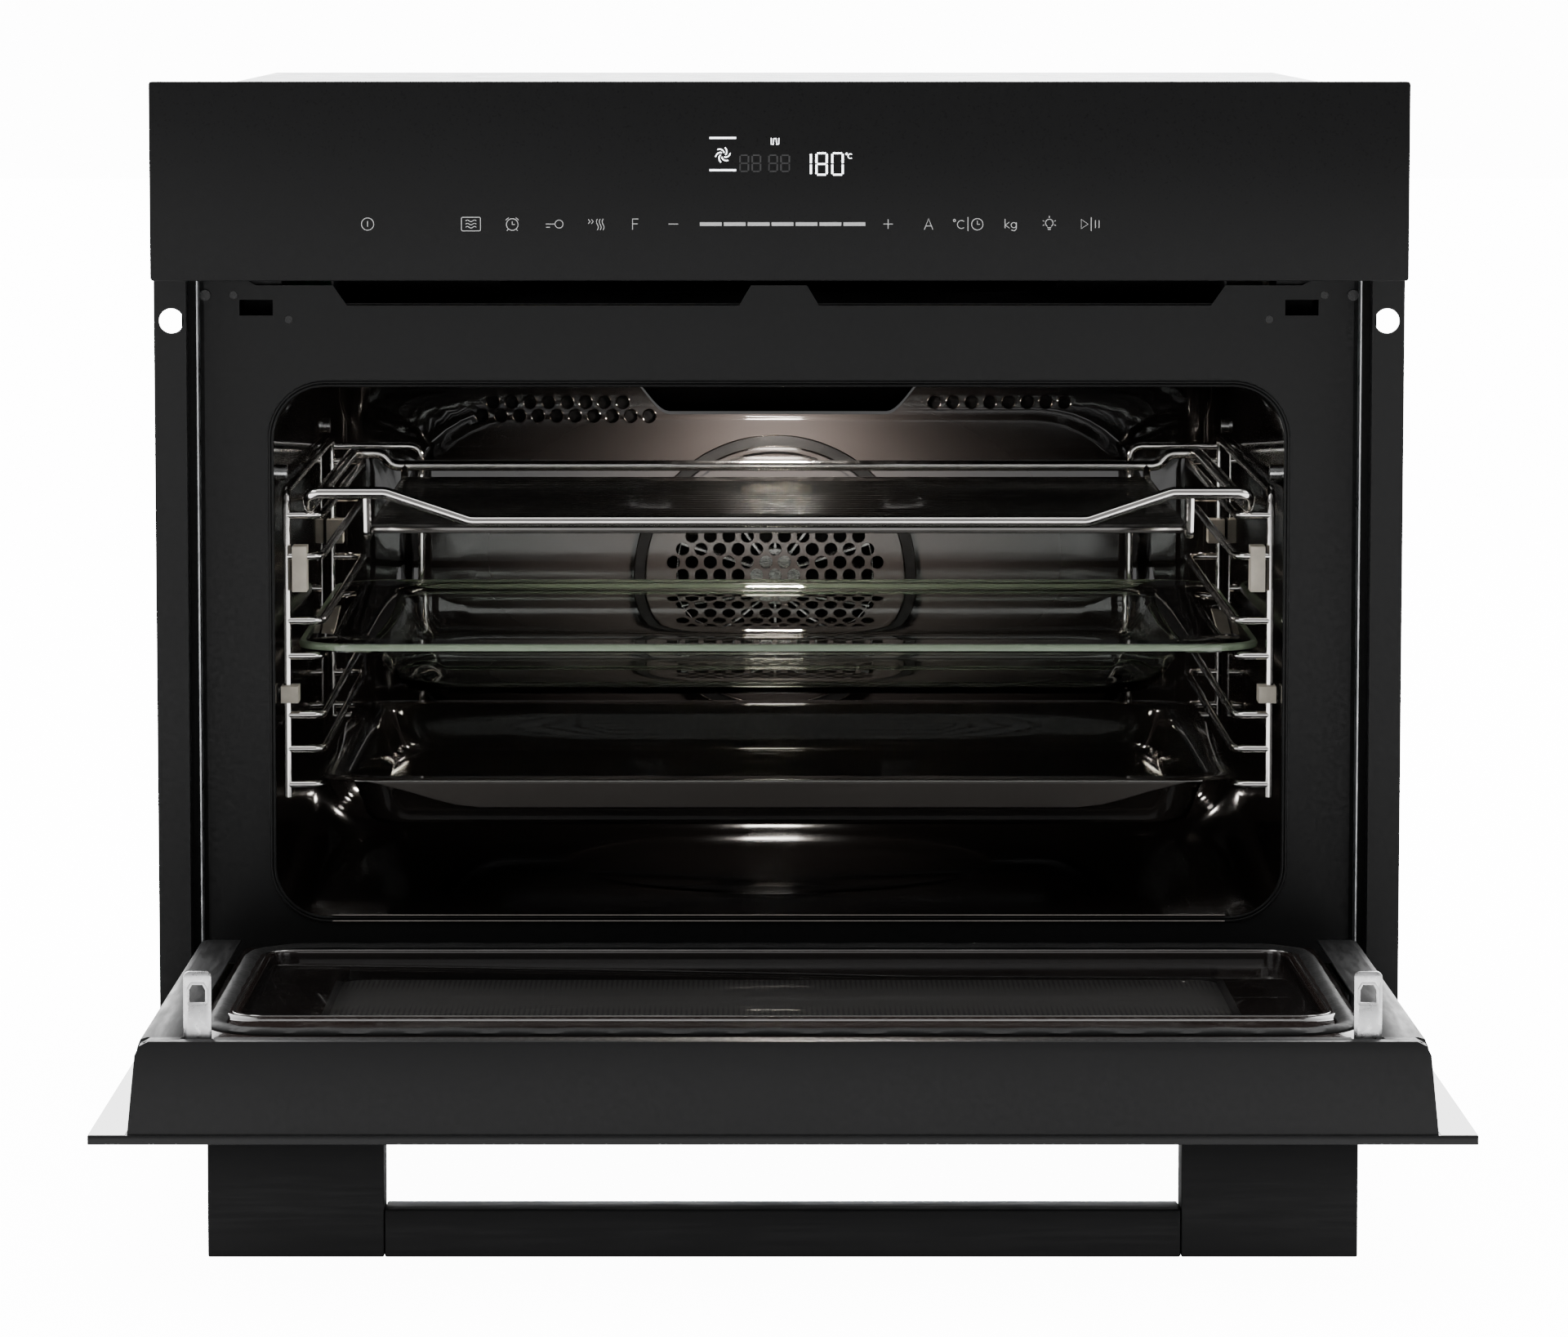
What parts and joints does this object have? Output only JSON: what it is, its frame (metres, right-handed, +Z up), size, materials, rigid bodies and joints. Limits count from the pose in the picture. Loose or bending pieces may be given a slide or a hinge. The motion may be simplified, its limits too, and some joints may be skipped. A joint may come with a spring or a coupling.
{
  "type": "wall oven",
  "caption": "Compact built-in combination oven with a drop-down glass door, touch panel, side ladders, wire shelf, glass dish, enamel tray and fan-cooled body.",
  "frame": {"origin": "middle of the oven's width on its base, in the plane of the front frame", "axes": "+X to the right of someone facing the oven, +Y into the cabinet, +Z up"},
  "size_m": [0.5956, 0.8878, 0.4987],
  "materials": {
    "zinc_steel": "satin",
    "black_paint": "satin",
    "black_glass": "gloss",
    "black_plastic": "matt",
    "circuit_board": "satin",
    "black_enamel": "gloss",
    "fan_aluminium": "satin",
    "motor_steel": "satin",
    "heater_steel": "matt",
    "ceramic": "matt",
    "lamp_glass": "gloss",
    "bright_steel": "satin",
    "glass_wool": "matt",
    "chrome_wire": "gloss",
    "iron_core": "matt",
    "black_screw": "satin",
    "grey_paint": "satin",
    "brown_enamel": "gloss",
    "screen_steel": "satin",
    "door_glass": "gloss",
    "seal_rubber": "matt",
    "silver_plate": "satin",
    "handle_black": "brushed",
    "dish_glass": "gloss",
    "tray_enamel": "gloss"
  },
  "bodies": {
    "oven": {"base_pan": "zinc_steel", "side_panel_left": "zinc_steel", "side_panel_right": "zinc_steel", "top_cover": "zinc_steel", "rear_cover": "zinc_steel", "mounting_strips": "black_paint", "front_frame": "black_paint", "control_panel_glass": "black_glass", "control_panel_frame": "black_plastic", "display_module": "circuit_board", "touch_board": "circuit_board", "power_board": "circuit_board", "cavity": "black_enamel", "ceiling_plate": "black_enamel", "fan_cover": "black_enamel", "fan_chamber": "zinc_steel", "convection_motor": "motor_steel", "ring_heater": "heater_steel", "top_heater": "heater_steel", "lamp_holder": "ceramic", "lamp_lens": "lamp_glass", "temperature_sensor": "bright_steel", "insulation": "glass_wool", "ladder_left": "chrome_wire", "ladder_right": "chrome_wire", "ladder_spacers": "ceramic", "ladder_screws": "bright_steel", "blower_housing": "black_plastic", "blower_motor": "motor_steel", "air_duct": "black_plastic", "magnetron": "fan_aluminium", "waveguide": "zinc_steel", "stirrer_motor": "motor_steel", "hv_transformer": "iron_core", "hv_capacitor": "fan_aluminium", "terminal_block": "ceramic", "latch_switches": "black_plastic", "hinge_receivers": "zinc_steel", "hinge_pins": "bright_steel", "case_screws": "black_screw"},
    "door": {"door_outer_glass": "black_glass", "door_top_cover": "black_paint", "door_side_rails": "grey_paint", "door_bottom_rail": "black_plastic", "door_inner_frame": "brown_enamel", "door_screen": "screen_steel", "door_middle_glass": "door_glass", "door_inner_glass": "door_glass", "door_seal": "seal_rubber", "latch_tabs": "silver_plate", "hinge_arms": "zinc_steel", "handle_bar": "handle_black", "handle_ends": "handle_black", "handle_screws": "bright_steel"},
    "wire_shelf": {"wire_shelf": "chrome_wire"},
    "glass_dish": {"glass_dish": "dish_glass"},
    "baking_tray": {"baking_tray": "tray_enamel"},
    "convection_fan": {"convection_fan": "fan_aluminium"},
    "blower_wheel": {"blower_wheel": "fan_aluminium"},
    "mode_stirrer": {"mode_stirrer": "fan_aluminium"}
  },
  "joints": [
    {"name": "door_hinge", "type": "hinge", "parent": "oven", "child": "door", "pos_m": [0, -0.0265, 0.02], "axis": [1, 0, 0], "range_deg": [-89, 0]},
    {"name": "wire_shelf_slide", "type": "slide", "parent": "oven", "child": "wire_shelf", "axis": [0, -1, 0], "range_m": [0, 0.3]},
    {"name": "glass_dish_slide", "type": "slide", "parent": "oven", "child": "glass_dish", "axis": [0, -1, 0], "range_m": [0, 0.3]},
    {"name": "baking_tray_slide", "type": "slide", "parent": "oven", "child": "baking_tray", "axis": [0, -1, 0], "range_m": [0, 0.3]},
    {"name": "convection_fan_spin", "type": "hinge", "parent": "oven", "child": "convection_fan", "pos_m": [0, 0.42, 0.1785], "axis": [0, 1, 0], "continuous": true},
    {"name": "blower_spin", "type": "hinge", "parent": "oven", "child": "blower_wheel", "pos_m": [0, 0.144, 0.402], "axis": [1, 0, 0], "continuous": true},
    {"name": "stirrer_spin", "type": "hinge", "parent": "oven", "child": "mode_stirrer", "pos_m": [0, 0.225, 0.31], "axis": [0, 0, 1], "continuous": true}
  ]
}
